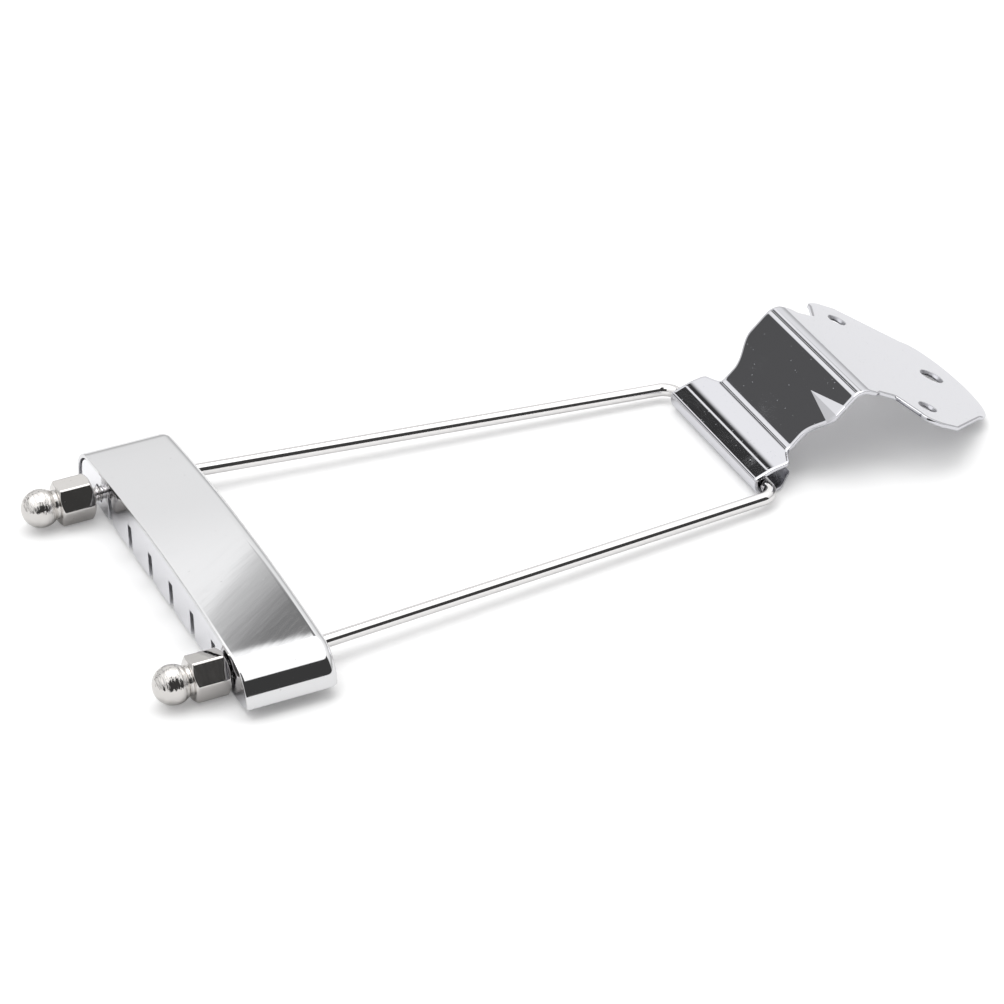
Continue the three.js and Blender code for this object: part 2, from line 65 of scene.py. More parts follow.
def makeCamera(values):
    right = Vector(values["right"]).normalized()
    back = right.cross(Vector(values["up"])).normalized()
    up = back.cross(right)
    lens = bpy.data.cameras.new("photoCamera")
    lens.lens = values["lens"]
    lens.sensor_width = values["sensorWidth"]
    lens.clip_start, lens.clip_end = values["clipRange"]
    item = bpy.data.objects.new("photoCamera", lens)
    turn = Matrix((right, up, back)).transposed().to_4x4()
    item.matrix_world = Matrix.Translation(values["place"]) @ turn
    bpy.context.scene.collection.objects.link(item)
    bpy.context.scene.camera = item


makeCamera(camera)
print("camera ready")

# Places: the yoke and the bracket are each tilted a little about the hinge

hinge = Vector(joints["yoke_hinge"]["pos_m"])
studAxis = Vector(joints["bar_slide"]["axis"])
plateNormal = -Vector(mounts["plate_back"]["axis"])
plateLean = 28.8  # degrees, in the bracket's own drawing
barFromHinge = Vector((-113.3, 0, -0.61))


def placing(tilt, shift=(0, 0, 0)):
    turn = Matrix.Rotation(-tilt, 4, "Y")
    return Matrix.Translation(hinge) @ turn @ Matrix.Scale(mm, 4) @ Matrix.Translation(shift)


yokeTilt = math.atan2(studAxis.z, studAxis.x)
bracketTilt = math.atan2(plateNormal.z, plateNormal.x) - rad(90 - plateLean)
yokePlace = placing(yokeTilt)
barPlace = placing(yokeTilt, barFromHinge)
bracketPlace = placing(bracketTilt)

# Shader groups


def newGroup(name, inputs, outputs):
    tree = bpy.data.node_groups.new(name, "ShaderNodeTree")
    for label, kind, value in inputs:
        socket = tree.interface.new_socket(label, in_out="INPUT", socket_type=kind)
        if value is not None:
            socket.default_value = value
    for label, kind in outputs:
        tree.interface.new_socket(label, in_out="OUTPUT", socket_type=kind)
    return tree, tree.nodes.new("NodeGroupInput"), tree.nodes.new("NodeGroupOutput")


def link(tree, source, target):
    tree.links.new(source, target)


def mathNode(tree, operation, *values):
    node = tree.nodes.new("ShaderNodeMath")
    node.operation = operation
    for socket, value in zip(node.inputs, values):
        if isinstance(value, bpy.types.NodeSocket):
            link(tree, value, socket)
        else:
            socket.default_value = value
    return node.outputs[0]


def rangeNode(tree, value, low, high, toLow=0.0, toHigh=1.0, smooth=True):
    node = tree.nodes.new("ShaderNodeMapRange")
    node.interpolation_type = "SMOOTHSTEP" if smooth else "LINEAR"
    for index, item in enumerate((value, low, high, toLow, toHigh)):
        if isinstance(item, bpy.types.NodeSocket):
            link(tree, item, node.inputs[index])
        else:
            node.inputs[index].default_value = item
    return node.outputs[0]


def noiseNode(tree, vector, scale, detail, roughness=0.5):
    node = tree.nodes.new("ShaderNodeTexNoise")
    node.inputs["Detail"].default_value = detail
    node.inputs["Roughness"].default_value = roughness
    link(tree, vector, node.inputs["Vector"])
    if isinstance(scale, bpy.types.NodeSocket):
        link(tree, scale, node.inputs["Scale"])
    else:
        node.inputs["Scale"].default_value = scale
    return node.outputs["Fac"]


vectorKind, floatKind = "NodeSocketVector", "NodeSocketFloat"
marking = {
    "lineDetail": 3,
    "lineRange": (0.4, 0.7),
    "waveDetail": 1,
    "filmDetail": 5,
    "filmBreakup": 0.6,
    # where in the noise the film starts, how far full cover lowers that, and how it fades in
    "filmStart": 0.75,
    "filmSpread": 0.4,
    "filmFade": 0.2,
    "dotCore": 0.02,
}


def makePolishMarks(values):
    # Fine rubbing lines and slow waves left by the polishing wheel
    inputs = [
        ("Vector", vectorKind, None),
        ("Line Scale", floatKind, 400.0),
        ("Wave Scale", floatKind, 120.0),
        ("Wave Share", floatKind, 0.5),
    ]
    outputs = [("Height", floatKind), ("Lines", floatKind)]
    tree, entry, result = newGroup("polishMarks", inputs, outputs)
    place = entry.outputs["Vector"]
    lines = noiseNode(tree, place, entry.outputs["Line Scale"], values["lineDetail"])
    waves = noiseNode(tree, place, entry.outputs["Wave Scale"], values["waveDetail"])
    height = tree.nodes.new("ShaderNodeMix")
    link(tree, entry.outputs["Wave Share"], height.inputs["Factor"])
    link(tree, lines, height.inputs["A"])
    link(tree, waves, height.inputs["B"])
    link(tree, height.outputs["Result"], result.inputs["Height"])
    link(tree, rangeNode(tree, lines, *values["lineRange"]), result.inputs["Lines"])
    return tree


def makeHandlingFilm(values):
    # Cloudy film where the plating has been handled
    inputs = [
        ("Vector", vectorKind, None),
        ("Scale", floatKind, 60.0),
        ("Cover", floatKind, 0.5),
    ]
    tree, entry, result = newGroup("handlingFilm", inputs, [("Mask", floatKind)])
    cloud = noiseNode(
        tree,
        entry.outputs["Vector"],
        entry.outputs["Scale"],
        values["filmDetail"],
        values["filmBreakup"],
    )
    lowered = mathNode(tree, "MULTIPLY", entry.outputs["Cover"], values["filmSpread"])
    start = mathNode(tree, "SUBTRACT", values["filmStart"], lowered)
    end = mathNode(tree, "ADD", start, values["filmFade"])
    link(tree, rangeNode(tree, cloud, start, end), result.inputs["Mask"])
    return tree


def makeDustSpecks(values):
    # Dust and pin pricks, each in its own cell, with most cells left empty
    inputs = [
        ("Vector", vectorKind, None),
        ("Scale", floatKind, 900.0),
        ("Size", floatKind, 0.2),
        ("Share", floatKind, 0.1),
    ]
    tree, entry, result = newGroup("dustSpecks", inputs, [("Mask", floatKind)])
    cells = tree.nodes.new("ShaderNodeTexVoronoi")
    link(tree, entry.outputs["Vector"], cells.inputs["Vector"])
    link(tree, entry.outputs["Scale"], cells.inputs["Scale"])
    split = tree.nodes.new("ShaderNodeSeparateColor")
    link(tree, cells.outputs["Color"], split.inputs[0])
    chosen = mathNode(tree, "LESS_THAN", split.outputs[0], entry.outputs["Share"])
    size = entry.outputs["Size"]
    dot = rangeNode(tree, cells.outputs["Distance"], size, values["dotCore"])
    link(tree, mathNode(tree, "MULTIPLY", chosen, dot), result.inputs["Mask"])
    return tree


def makePressMark():
    # A shallow crease that widens from its tip towards the sheet's near edge
    inputs = [("Vector", vectorKind, None)]
    inputs += [(label, floatKind, 0.1) for label in ("Tip X", "Tip Y", "Spread", "Slope")]
    tree, entry, result = newGroup("pressMark", inputs, [("Height", floatKind)])
    split = tree.nodes.new("ShaderNodeSeparateXYZ")
    link(tree, entry.outputs["Vector"], split.inputs[0])
    fromTip = mathNode(tree, "SUBTRACT", split.outputs[0], entry.outputs["Tip X"])
    aside = mathNode(tree, "ABSOLUTE", fromTip)
    inward = mathNode(tree, "SUBTRACT", entry.outputs["Tip Y"], split.outputs[1])
    width = mathNode(tree, "MULTIPLY", inward, entry.outputs["Spread"])
    rise = mathNode(tree, "MAXIMUM", mathNode(tree, "SUBTRACT", width, aside), 0.0)
    height = mathNode(tree, "MULTIPLY", rise, entry.outputs["Slope"])
    link(tree, height, result.inputs["Height"])
    return tree


polishMarks = makePolishMarks(marking)
pressMark = makePressMark()
handlingFilm = makeHandlingFilm(marking)
dustSpecks = makeDustSpecks(marking)
print("shader groups ready")

# Finishes: bump depths and the press mark's tip are in metres, and grainTurn is in degrees.
# Lines add a share of the finish's own roughness, and dust adds a fixed amount.

plating = {"lineShare": 0.5, "dustRoughness": 0.3}
finishes = {
    "bracketChrome": {
        "colour": (0.735, 0.735, 0.77),
        "dustColour": (0.60, 0.62, 0.66),
        "roughness": 0.03,
        "filmRoughness": 0.10,
        "filmScale": 70.0,
        "filmCover": 0.4,
        "press": {"Tip_X": 0.0530, "Tip_Y": -0.0072, "Spread": 0.17, "Slope": 0.22},
        "stretch": (1.0, 4.0, 1.0),
        "grainTurn": 0,
        "lineScale": 700.0,
        "waveScale": 130.0,
        "waveShare": 0.75,
        "bumpDepth": 0.000006,
        "speckScale": 1500.0,
        "speckSize": 0.26,
        "speckShare": 0.16,
    },
    "wireChrome": {
        "colour": (0.88, 0.865, 0.86),
        "dustColour": (0.6, 0.6, 0.6),
        "roughness": 0.04,
        "filmRoughness": 0.06,
        "filmScale": 90.0,
        "filmCover": 0.4,
        "stretch": (7.0, 1.0, 1.0),
        "grainTurn": 0,
        "lineScale": 900.0,
        "waveScale": 200.0,
        "waveShare": 0.6,
        "bumpDepth": 0.000004,
        "speckScale": 900.0,
        "speckSize": 0.2,
        "speckShare": 0.05,
    },
    "anchorChrome": {
        "colour": (0.93, 0.93, 0.96),
        "dustColour": (0.5, 0.5, 0.5),
        "roughness": 0.07,
        "filmRoughness": 0.08,
        "filmScale": 80.0,
        "filmCover": 0.5,
        "stretch": (1.0, 3.0, 1.0),
        "grainTurn": 0,
        "lineScale": 800.0,
        "waveScale": 220.0,
        "waveShare": 0.5,
        "bumpDepth": 0.000006,
        "speckScale": 900.0,
        "speckSize": 0.2,
        "speckShare": 0.06,
    },
    "coverChrome": {
        "colour": (0.79, 0.79, 0.80),
        "dustColour": (0.62, 0.62, 0.63),
        "roughness": 0.045,
        "filmRoughness": 0.09,
        "filmScale": 50.0,
        "filmCover": 0.55,
        "stretch": (9.0, 1.0, 3.0),
        "grainTurn": 34,
        "lineScale": 900.0,
        "waveScale": 240.0,
        "waveShare": 0.6,
        "bumpDepth": 0.0000038,
        "speckScale": 1000.0,
        "speckSize": 0.2,
        "speckShare": 0.05,
    },
    "nutNickel": {
        "colour": (0.74, 0.72, 0.70),
        "dustColour": (0.5, 0.48, 0.46),
        "roughness": 0.05,
        "filmRoughness": 0.08,
        "filmScale": 150.0,
        "filmCover": 0.5,
        "stretch": (1.0, 25.0, 25.0),
        "grainTurn": 0,
        "lineScale": 2600.0,
        "waveScale": 900.0,
        "waveShare": 0.4,
        "bumpDepth": 0.000005,
        "speckScale": 1500.0,
        "speckSize": 0.25,
        "speckShare": 0.08,
    },
    "ballNickel": {
        "colour": (0.74, 0.72, 0.70),
        "dustColour": (0.5, 0.48, 0.46),
        "roughness": 0.07,
        "filmRoughness": 0.1,
        "filmScale": 150.0,
        "filmCover": 0.5,
        "stretch": (1.0, 5.0, 5.0),
        "grainTurn": 0,
        "lineScale": 1300.0,
        "waveScale": 600.0,
        "waveShare": 0.4,
        "bumpDepth": 0.0007,
        "speckScale": 1500.0,
        "speckSize": 0.25,
        "speckShare": 0.08,
    },
    # rough unbuffed plating; its dark colour is painted shade inside the curl, in the screw holes
    # and under the cover
    "innerPlatingAndShade": {
        "colour": (0.30, 0.30, 0.32),
        "dustColour": (0.25, 0.24, 0.23),
        "roughness": 0.24,
        "filmRoughness": 0.2,
        "filmScale": 120.0,
        "filmCover": 0.6,
        "stretch": (1.0, 3.0, 1.0),
        "grainTurn": 0,
        "lineScale": 700.0,
        "waveScale": 200.0,
        "waveShare": 0.4,
        "bumpDepth": 0.00001,
        "speckScale": 900.0,
        "speckSize": 0.25,
        "speckShare": 0.1,
    },
}


def placeGroup(tree, group, vector, **values):
    node = tree.nodes.new("ShaderNodeGroup")
    node.node_tree = group
    link(tree, vector, node.inputs["Vector"])
    for label, value in values.items():
        node.inputs[label.replace("_", " ")].default_value = value
    return node


def platedMetal(name, values):
    material = bpy.data.materials.new(name)
    material.use_nodes = True
    tree = material.node_tree
    shader = tree.nodes["Principled BSDF"]
    place = tree.nodes.new("ShaderNodeTexCoord").outputs["Object"]
    stretched = tree.nodes.new("ShaderNodeMapping")
    stretched.vector_type = "TEXTURE"
    stretched.inputs["Rotation"].default_value = (0, 0, rad(values["grainTurn"]))
    stretched.inputs["Scale"].default_value = values["stretch"]
    link(tree, place, stretched.inputs["Vector"])
    marks = placeGroup(
        tree,
        polishMarks,
        stretched.outputs[0],
        Line_Scale=values["lineScale"],
        Wave_Scale=values["waveScale"],
        Wave_Share=values["waveShare"],
    )
    film = placeGroup(
        tree,
        handlingFilm,
        place,
        Scale=values["filmScale"],
        Cover=values["filmCover"],
    )
    specks = placeGroup(
        tree,
        dustSpecks,
        place,
        Scale=values["speckScale"],
        Size=values["speckSize"],
        Share=values["speckShare"],
    )
    tint = tree.nodes.new("ShaderNodeMix")
    tint.data_type = "RGBA"
    link(tree, specks.outputs["Mask"], tint.inputs["Factor"])
    tint.inputs["A"].default_value = (*values["colour"], 1)
    tint.inputs["B"].default_value = (*values["dustColour"], 1)
    link(tree, tint.outputs["Result"], shader.inputs["Base Color"])
    base = values["roughness"]
    lineRise = base * plating["lineShare"]
    dustRise = plating["dustRoughness"]
    filmed = mathNode(tree, "MULTIPLY_ADD", film.outputs["Mask"], values["filmRoughness"], base)
    lined = mathNode(tree, "MULTIPLY_ADD", marks.outputs["Lines"], lineRise, filmed)
    dusty = mathNode(tree, "MULTIPLY_ADD", specks.outputs["Mask"], dustRise, lined)
    link(tree, dusty, shader.inputs["Roughness"])
    shader.inputs["Metallic"].default_value = 1
    bump = tree.nodes.new("ShaderNodeBump")
    bump.inputs["Distance"].default_value = values["bumpDepth"]
    link(tree, marks.outputs["Height"], bump.inputs["Height"])
    link(tree, bump.outputs["Normal"], shader.inputs["Normal"])
    if "press" in values:
        mark = placeGroup(tree, pressMark, place, **values["press"])
        crease = tree.nodes.new("ShaderNodeBump")
        crease.inputs["Distance"].default_value = 1
        link(tree, mark.outputs["Height"], crease.inputs["Height"])
        link(tree, crease.outputs["Normal"], bump.inputs["Normal"])
    return material


materials = {name: platedMetal(name, values) for name, values in finishes.items()}
print("finishes ready")

# Mesh helpers


def edgesOf(geometry):
    return [item for item in geometry if isinstance(item, bmesh.types.BMEdge)]


def vertsOf(geometry):
    return [item for item in geometry if isinstance(item, bmesh.types.BMVert)]


def facesOf(geometry):
    return [item for item in geometry if isinstance(item, bmesh.types.BMFace)]


def edgesRound(verts):
    # Each edge once, in the same order on every run
    return list(dict.fromkeys(edge for vert in verts for edge in vert.link_edges))


def drawLine(bm, points, closed=False):
    verts = [bm.verts.new(point) for point in points]
    pairs = list(zip(verts, verts[1:]))
    if closed:
        pairs.append((verts[-1], verts[0]))
    return [bm.edges.new(pair) for pair in pairs]


def roundOff(bm, edges, width, segments):
    bmesh.ops.bevel(
        bm,
        geom=edges,
        offset=width,
        offset_type="OFFSET",
        affect="EDGES",
        segments=segments,
        profile=0.5,
        material=-1,
        clamp_overlap=False,
    )


def sharpEdges(bm, angle):
    return [edge for edge in bm.edges if edge.is_manifold and edge.calc_face_angle(0) > rad(angle)]


def cutAt(bm, places, axis):
    for place in places:
        bmesh.ops.bisect_plane(
            bm,
            geom=bm.verts[:] + bm.edges[:] + bm.faces[:],
            dist=tolerance["cut"],
            plane_co=Vector(axis) * place,
            plane_no=axis,
        )


def finishPiece(bm, name, place, finish, body, node):
    bmesh.ops.transform(bm, matrix=place, verts=bm.verts)
    mesh = bpy.data.meshes.new(name)
    bm.to_mesh(mesh)
    bm.free()
    mesh.polygons.foreach_set("use_smooth", [True] * len(mesh.polygons))
    mesh.materials.append(materials[finish])
    piece = bpy.data.objects.new(name, mesh)
    bpy.context.scene.collection.objects.link(piece)
    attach(piece, body)
    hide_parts(node)
    print(name, "made with", len(mesh.polygons), "faces")
    return piece


# Mounting bracket: a flat stamped blank, then bent. X runs along the blank and Y across it.

bracket = {
    "thickness": 0.8,
    "tailEnd": (7.016, -1.414),  # from the hinge axis, middle of the sheet
    "tailHeading": 184,
    # straight run, then the bend's radius and turn, from the tail to the plate's tip
    "runs": [
        (6.9, 1.9, -94),
        (0.96, 0.5, -70),
        (2.558, 10, -11.1),
        (3.182, 4, 32.5),
        (14.026, 3, -70.2),
        (33.992, 0, 0),
    ],
    "facetAngle": 4,
    "arcSteps": 12,
    "tailHalfWidth": 14,
    "tailTaper": 3.9,
    # each corner point's place along the blank and across it, from the corner
    "tailCorner": [(0, -0.3), (0.15, -0.1), (1, 0.62)],
    "curlHalfWidth": 17.5,
    "curlCorner": [(-0.7, -0.6), (-0.1, -0.15), (0.6, 0)],
    "scallopStart": 18.63,
    "scallopEntry": 1.9,
    "scallopEase": 0.12,
    "scallopLip": 0.47,
    "scallopLength": 3.2,
    "scallopExit": 7.5,
    "scallopHalfWidth": 13.7,
    "reliefHalfWidth": 16.5,
    "reliefLength": 4.6,
    "reliefEase": 0.1,
    "wingTopHalfWidth": 22,
    "wingRise": 2.4,
    "wingFoot": [(-0.4, 0), (-0.1, 0.15), (0.1, 0.6)],
    "wingCorner": 4.3,
    "plateHalfWidth": 25,
    "sideLength": 3.4,
    "flankLength": 11.2,
    "shoulderHalfWidth": 15.7,
    # distance from the tip, place across, hole radius and sink radius
    "holes": [(20.5, 17.95, 1.45, 1.95), (20.5, -17.95, 1.45, 1.95), (7.9, 0, 2, 2.5)],
    "holeSides": 40,
    "ringMargin": 0.1,
    "sinkDepth": 0.5,
    # the buffing rounds the sheet towards its edges
    "rollOff": 0.5,
    "rollDrop": 0.06,
    "rollFade": 0.3,
    # the inside of the curl is plated but not buffed, and its darker colour there is painted shade
    "dullShadeLength": 20.5,
    "dullShadeDepth": 0.15,
    "rim": 0.1,
    "rimSteps": 3,
    "sharpAngle": 35,
    "bendMargin": 0.3,
}


def sheetPlace(values, along):
    heading = rad(values["tailHeading"])
    point = Vector(values["tailEnd"])
    for straight, radius, turn in values["runs"]:
        step = along if radius == 0 else min(along, straight)
        point = point + step * Vector((math.cos(heading), math.sin(heading)))
        along -= step
        if along <= 0 or radius == 0:
            break
        bendLength = radius * abs(rad(turn))
        part = rad(turn) * min(along / bendLength, 1)
        side = math.copysign(radius, turn)
        centre = point + side * Vector((-math.sin(heading), math.cos(heading)))
        heading += part
        point = centre - side * Vector((-math.sin(heading), math.cos(heading)))
        along -= bendLength
        if along <= 0:
            break
    return point, Vector((-math.sin(heading), math.cos(heading)))


def sheetLength(values):
    return sum(straight + radius * abs(rad(turn)) for straight, radius, turn in values["runs"])


def bendStations(values):
    stations = []
    along = 0
    for straight, radius, turn in values["runs"]:
        along += straight
        if radius == 0:
            break
        bendLength = radius * abs(rad(turn))
        count = math.ceil(abs(turn) / values["facetAngle"])
        stations += [along - values["bendMargin"]] if straight > 1 else []
        stations += [along + bendLength * step / count for step in range(count + 1)]
        along += bendLength
        stations += [along + values["bendMargin"]]
    return sorted(stations)


def blankOutline(values, total):
    # One side of the blank, from the tail to the tip
    holeLine = total - values["holes"][0][0]
    wingTop = holeLine - values["wingRise"] - values["wingCorner"]
    relief = wingTop - values["reliefLength"]
    blend = values["thickness"]
    start = values["scallopStart"]
    entry = values["scallopEntry"]
    lip = values["scallopLip"]
    ease = values["reliefEase"]
    tailWidth = values["tailHalfWidth"]
    curlWidth = values["curlHalfWidth"]
    reliefWidth = values["reliefHalfWidth"]
    narrow = values["scallopHalfWidth"]
    count = values["arcSteps"]
    side = [(along, tailWidth + across) for along, across in values["tailCorner"]]
    taper = values["tailTaper"]
    side += [(taper + along, curlWidth + across) for along, across in values["curlCorner"]]
    side += [(start - entry / 2, curlWidth), (start - entry / 4, curlWidth - values["scallopEase"])]
    for step in range(count + 1):
        dip = math.sin(step / count * math.pi / 2)
        width = curlWidth - lip + (narrow - curlWidth + lip) * dip
        side.append((start + entry * step / count, width))
    climb = start + entry + values["scallopLength"]
    for step in range(count + 1):
        rise = (1 - math.cos(step / count * math.pi)) / 2
        width = narrow + (curlWidth - narrow) * rise
        side.append((climb + values["scallopExit"] * step / count, width))
    side += [(relief - blend, curlWidth), (relief - blend / 2, curlWidth - ease)]
    side += [(relief + blend / 2, reliefWidth + ease), (relief + blend, reliefWidth)]
    side += [(wingTop + along, reliefWidth + across) for along, across in values["wingFoot"]]
    for step in range(count + 1):
        angle = step / count * math.pi / 2
        length = wingTop + values["wingRise"] + values["wingCorner"] * (1 - math.cos(angle))
        spread = (values["plateHalfWidth"] - values["wingTopHalfWidth"]) * math.sin(angle)
        side.append((length, values["wingTopHalfWidth"] + spread))
    flank = holeLine + values["sideLength"]
    side.append((flank, values["plateHalfWidth"] - blend / 3))
    shoulder = flank + values["flankLength"]
    for step in range(2 * count):
        angle = step / (2 * count) * math.pi / 2
        tip = shoulder + (total - shoulder) * math.sin(angle)
        side.append((tip, values["shoulderHalfWidth"] * math.cos(angle)))
    side.append((total, blend))
    return side


def sheetFace(bm, values, total, height, sunk):
    # One face of the blank, with the rings of edges round its outline and its holes
    side = blankOutline(values, total)
    outline = [(x, y, height) for x, y in side] + [(x, -y, height) for x, y in reversed(side)]
    edges = drawLine(bm, outline, closed=True)
    for fromTip, across, holeRadius, sinkRadius in values["holes"]:
        ring = bmesh.ops.create_circle(
            bm,
            segments=values["holeSides"],
            radius=sinkRadius if sunk else holeRadius,
            matrix=Matrix.Translation((total - fromTip, across, height)),
        )["verts"]
        edges += edgesRound(ring)
    filled = bmesh.ops.triangle_fill(
        bm,
        use_beauty=True,
        use_dissolve=False,
        edges=edges,
        normal=(0, 0, 1),
    )
    faces = facesOf(filled["geom"])
    for width in (values["rollOff"], values["rollFade"]):
        bmesh.ops.inset_region(
            bm,
            faces=faces,
            use_boundary=True,
            use_even_offset=True,
            thickness=width,
        )
    outer = []
    rings = [[] for _ in values["holes"]]
    for edge in bm.edges:
        start, end = (vert.co for vert in edge.verts)
        if not edge.is_boundary or abs(start.z - height) > tolerance["merge"]:
            continue
        middle = (start + end) / 2
        owner = outer
        for ring, (fromTip, across, _, sinkRadius) in zip(rings, values["holes"]):
            away = (middle - Vector((total - fromTip, across, height))).length
            if away < sinkRadius + values["ringMargin"]:
                owner = ring
        owner.append(edge)
    return outer, rings


def isDullAndShaded(values, total, middle):
    # Inside the curl, or in a screw hole: these faces take the rough plating whose dark colour is
    # painted shade
    inner = values["dullShadeDepth"] - values["thickness"] / 2
    if middle.z < inner and middle.x < values["dullShadeLength"]:
        return True
    for fromTip, across, _, sinkRadius in values["holes"]:
        if math.hypot(middle.x - total + fromTip, middle.y - across) < sinkRadius:
            return True
    return False


def makeBracket(values):
    bm = bmesh.new()
    total = sheetLength(values)
    half = values["thickness"] / 2
    topOuter, topRings = sheetFace(bm, values, total, half, True)
    lowOuter, lowRings = sheetFace(bm, values, total, -half, False)
    for vert in {vert for edge in topOuter + lowOuter for vert in edge.verts}:
        vert.co.z -= math.copysign(values["rollDrop"], vert.co.z)
    bmesh.ops.bridge_loops(bm, edges=topOuter + lowOuter)
    for topRing, lowRing, hole in zip(topRings, lowRings, values["holes"]):
        fromTip, across, holeRadius, _ = hole
        verts = bmesh.ops.create_circle(
            bm,
            segments=values["holeSides"],
            radius=holeRadius,
            matrix=Matrix.Translation((total - fromTip, across, half - values["sinkDepth"])),
        )["verts"]
        middle = edgesRound(verts)
        bmesh.ops.bridge_loops(bm, edges=topRing + middle)
        bmesh.ops.bridge_loops(bm, edges=middle + lowRing)
    bmesh.ops.recalc_face_normals(bm, faces=bm.faces)
    roundOff(bm, sharpEdges(bm, values["sharpAngle"]), values["rim"], values["rimSteps"])
    cutAt(bm, bendStations(values), (1, 0, 0))
    bmesh.ops.dissolve_degenerate(bm, dist=tolerance["clean"], edges=bm.edges)
    for face in bm.faces:
        face.material_index = int(isDullAndShaded(values, total, face.calc_center_median()))
    for vert in bm.verts:
        along, across, height = vert.co
        point, normal = sheetPlace(values, along)
        vert.co = (point.x + height * normal.x, across, point.y + height * normal.y)
    piece = finishPiece(
        bm,
        "bracketSheet",
        bracketPlace,
        "bracketChrome",
        "bracket",
        "mounting_bracket",
    )
    # the curl's inside and the screw holes take the dark plating, a painted shade
    piece.data.materials.append(materials["innerPlatingAndShade"])


makeBracket(bracket)

# Pressed cover, drawn from the string bar's front face and lower edge

cover = {
    "front": -0.35,
    "rear": 17.15,
    "top": 10.4,
    "bottom": 1.4,
    "halfWidth": 42.7,
    "archRadius": 390,
    "bendRadius": 6.8,
    "legAngle": 12,
    "rearRadius": 1.9,
    "notchRadius": 2.15,
    "notchHeight": 3.25,
    "studY": 31.9,
    "thickness": 0.8,
    "bendSteps": 20,
    "archSteps": 14,
    "notchSteps": 16,
    "rearSteps": 8,
    "frontMargin": 0.5,
    "rearMargin": 0.4,
    "rim": 0.13,
    "rimSteps": 2,
    "rimAngle": 50,
}


def coverArch(values):
    # From the far leg over the top to the near one
    lean = rad(values["legAngle"])
    radius = values["bendRadius"]
    archRadius = values["archRadius"]
    bendY = values["halfWidth"] - radius
    archAngle = math.asin(bendY / (archRadius - radius))
    archZ = values["top"] - archRadius
    bendZ = archZ + (archRadius - radius) * math.cos(archAngle)
    first = max(-lean, math.asin((values["bottom"] - bendZ) / radius))
    half = []
    count = values["bendSteps"]
    for step in range(count + 1):
        angle = first + (math.pi / 2 - archAngle - first) * step / count
        half.append((bendY + radius * math.cos(angle), bendZ + radius * math.sin(angle)))
    count = values["archSteps"]
    for step in range(1, count + 1):
        angle = math.pi / 2 - archAngle * (1 - step / count)
        half.append((archRadius * math.cos(angle), archZ + archRadius * math.sin(angle)))
    return half + [(-y, z) for y, z in reversed(half[:-1])]


def coverFoot(values):
    # From the near leg to the far one, over the two notches
    radius = values["notchRadius"]
    count = values["notchSteps"]
    points = []
    for side in (-1, 1):
        y = side * values["studY"]
        points.append((y - radius, values["bottom"]))
        for step in range(count + 1):
            angle = math.pi * (1 - step / count)
            rise = values["notchHeight"] + radius * math.sin(angle)
            points.append((y + radius * math.cos(angle), rise))
        points.append((y + radius, values["bottom"]))
    return points


def makeCover(values):
    bm = bmesh.new()
    rear = values["rear"]
    arch = [(rear, y, z) for y, z in coverArch(values)]
    foot = [(rear, y, z) for y, z in coverFoot(values)]
    edges = drawLine(bm, arch + foot, closed=True)
    wall = bmesh.ops.contextual_create(bm, geom=edges)["faces"]
    archEdges = edges[: len(arch) - 1]
    pushed = bmesh.ops.extrude_edge_only(bm, edges=archEdges)["geom"]
    bmesh.ops.translate(bm, verts=vertsOf(pushed), vec=(values["front"] - rear, 0, 0))
    bmesh.ops.recalc_face_normals(bm, faces=bm.faces)
    if wall[0].normal.x < 0:
        bmesh.ops.reverse_faces(bm, faces=bm.faces)
    corner = [edge for edge in archEdges if edge.is_valid]
    roundOff(bm, corner, values["rearRadius"], values["rearSteps"])
    frontCut = values["front"] + values["frontMargin"]
    rearCut = rear - values["rearRadius"] - values["rearMargin"]
    cutAt(bm, [frontCut, rearCut], (1, 0, 0))
    piece = finishPiece(
        bm,
        "pressedCover",
        barPlace,
        "coverChrome",
        "string_bar",
        "crossbar_cover",
    )
    # the cover's inside faces take the dark plating, a painted shade under the cover
    piece.data.materials.append(materials["innerPlatingAndShade"])
    wallGrow = piece.modifiers.new("sheetThickness", "SOLIDIFY")
    wallGrow.material_offset = 1
    wallGrow.thickness = values["thickness"] * mm
    wallGrow.offset = -1
    wallGrow.use_even_offset = True
    rim = piece.modifiers.new("rim", "BEVEL")
    rim.width = values["rim"] * mm
    rim.segments = values["rimSteps"]
    rim.limit_method = "ANGLE"
    rim.angle_limit = rad(values["rimAngle"])
    piece.modifiers.new("flatShading", "WEIGHTED_NORMAL")


makeCover(cover)

# Slotted anchor plate: the frame's own shape with its edges broken

anchor = {"rim": 0.1, "rimSteps": 2, "sharpAngle": 35, "flatAngle": 0.5}


def makeAnchor(values):
    bm = bmesh.new()
    bm.from_mesh(nodes["string_anchor_plate"].data)
    bmesh.ops.scale(bm, vec=(1 / mm,) * 3, verts=bm.verts)
    bmesh.ops.remove_doubles(bm, verts=bm.verts, dist=tolerance["clean"])
    flatAngle = rad(values["flatAngle"])
    bmesh.ops.dissolve_limit(bm, angle_limit=flatAngle, verts=bm.verts, edges=bm.edges)
    roundOff(bm, sharpEdges(bm, values["sharpAngle"]), values["rim"], values["rimSteps"])
    piece = finishPiece(
        bm,
        "slottedPlate",
        Matrix.Scale(mm, 4),
        "anchorChrome",
        "string_bar",
        "string_anchor_plate",
    )
    piece.modifiers.new("flatShading", "WEIGHTED_NORMAL")


makeAnchor(anchor)

# Wire yoke, drawn from the hinge: one half is swept from the middle of the hinge run,
# and is then mirrored

